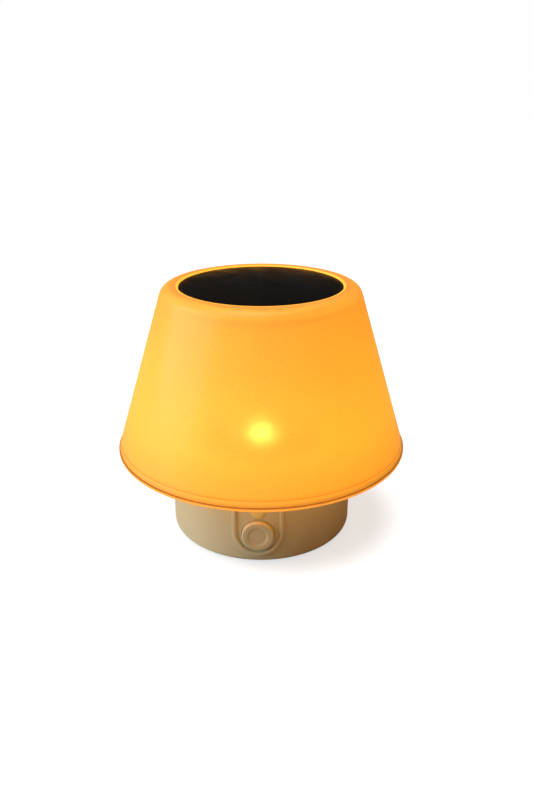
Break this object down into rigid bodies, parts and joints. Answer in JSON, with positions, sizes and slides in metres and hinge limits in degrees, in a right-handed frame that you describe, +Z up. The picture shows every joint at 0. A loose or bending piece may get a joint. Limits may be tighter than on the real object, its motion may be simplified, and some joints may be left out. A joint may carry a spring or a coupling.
{
  "type": "solar lantern",
  "caption": "Table lantern with a glowing frosted tapered shade, a round solar panel in its top, and a cylindrical base with a push button and a covered charging port.",
  "frame": {"origin": "middle of the underside, on the surface it stands on", "axes": "+Z up along the upright axis, the push button towards -Y, the charging port towards +Y"},
  "size_m": [0.15, 0.15, 0.1308],
  "materials": {
    "shade_amber": "frosted translucent amber polycarbonate, fine satin, lit from inside",
    "panel_cover": "clear flat cover over the cells, gloss",
    "solar_cell": "near-black monocrystalline silicon with fine silver grid lines",
    "black_board": "black solder mask",
    "green_board": "green solder mask",
    "white_board": "white solder mask on aluminium core",
    "soft_khaki": "soft-touch khaki, fine moulded texture",
    "black_rubber": "moulded rubber, matt",
    "grey_rubber": "silicone rubber, matt",
    "tray_plastic": "dark opaque moulding",
    "white_plastic": "white reflective moulding",
    "cradle_plastic": "dark grey nylon",
    "lens_clear": "clear diffusing moulding",
    "indicator_amber": "translucent warm lens",
    "led_face": "phosphor face of a warm LED",
    "screw_steel": "zinc-plated steel",
    "spring_brass": "nickel-plated spring brass",
    "port_steel": "stainless port shell",
    "cell_wrap": "shrink-wrapped cylindrical cell, density of a filled can",
    "component_black": "moulded electronic part",
    "socket_white": "nylon socket housing",
    "lead_black": "flexible lead jacket"
  },
  "bodies": {
    "lantern": {"base_gasket": "black_rubber", "base_plate": "soft_khaki", "base_plate_screws": "screw_steel", "base_shell": "soft_khaki", "battery_cell": "cell_wrap", "battery_contacts": "spring_brass", "battery_cradle": "cradle_plastic", "battery_lead": "lead_black", "board_sockets": "socket_white", "button_boot": "grey_rubber", "charge_inductor": "component_black", "charge_port": "port_steel", "control_board": "green_board", "control_board_screws": "screw_steel", "control_surround": "soft_khaki", "controller_chip": "component_black", "foot_ring": "grey_rubber", "indicator_led": "led_face", "indicator_lens": "indicator_amber", "lead_clips": "white_plastic", "lead_grommet": "black_rubber", "led_board": "white_board", "led_emitter": "led_face", "led_lead": "lead_black", "led_lens": "lens_clear", "led_screws": "screw_steel", "main_board": "green_board", "main_board_screws": "screw_steel", "panel_backing": "black_board", "panel_connector": "component_black", "panel_gasket": "black_rubber", "panel_glass": "panel_cover", "panel_lead": "lead_black", "panel_tray": "tray_plastic", "port_board": "green_board", "port_board_screws": "screw_steel", "port_hinge_pin": "screw_steel", "port_lead": "lead_black", "reflector": "white_plastic", "shade_floor": "shade_amber", "shade_screws": "screw_steel", "shade_seal": "black_rubber", "shade_shell": "shade_amber", "solar_cell_left": "solar_cell", "solar_cell_right": "solar_cell", "switch_lead": "lead_black", "tact_switch": "component_black", "tray_screws": "screw_steel"},
    "button": {"power_button": "soft_khaki", "switch_plunger": "white_plastic"},
    "port_flap": {"port_cover": "soft_khaki"}
  },
  "joints": [
    {"name": "button_press", "type": "slide", "parent": "lantern", "child": "button", "axis": [0, 1, 0], "range_m": [0, 0.0008], "stiffness_N_per_m": 1500, "springref_m": -0.0005, "deforming": ["button_boot"]},
    {"name": "port_cover_hinge", "type": "hinge", "parent": "lantern", "child": "port_flap", "pos_m": [0, 0.0466, 0.0193], "axis": [-1, 0, 0], "range_deg": [0, 95]}
  ]
}
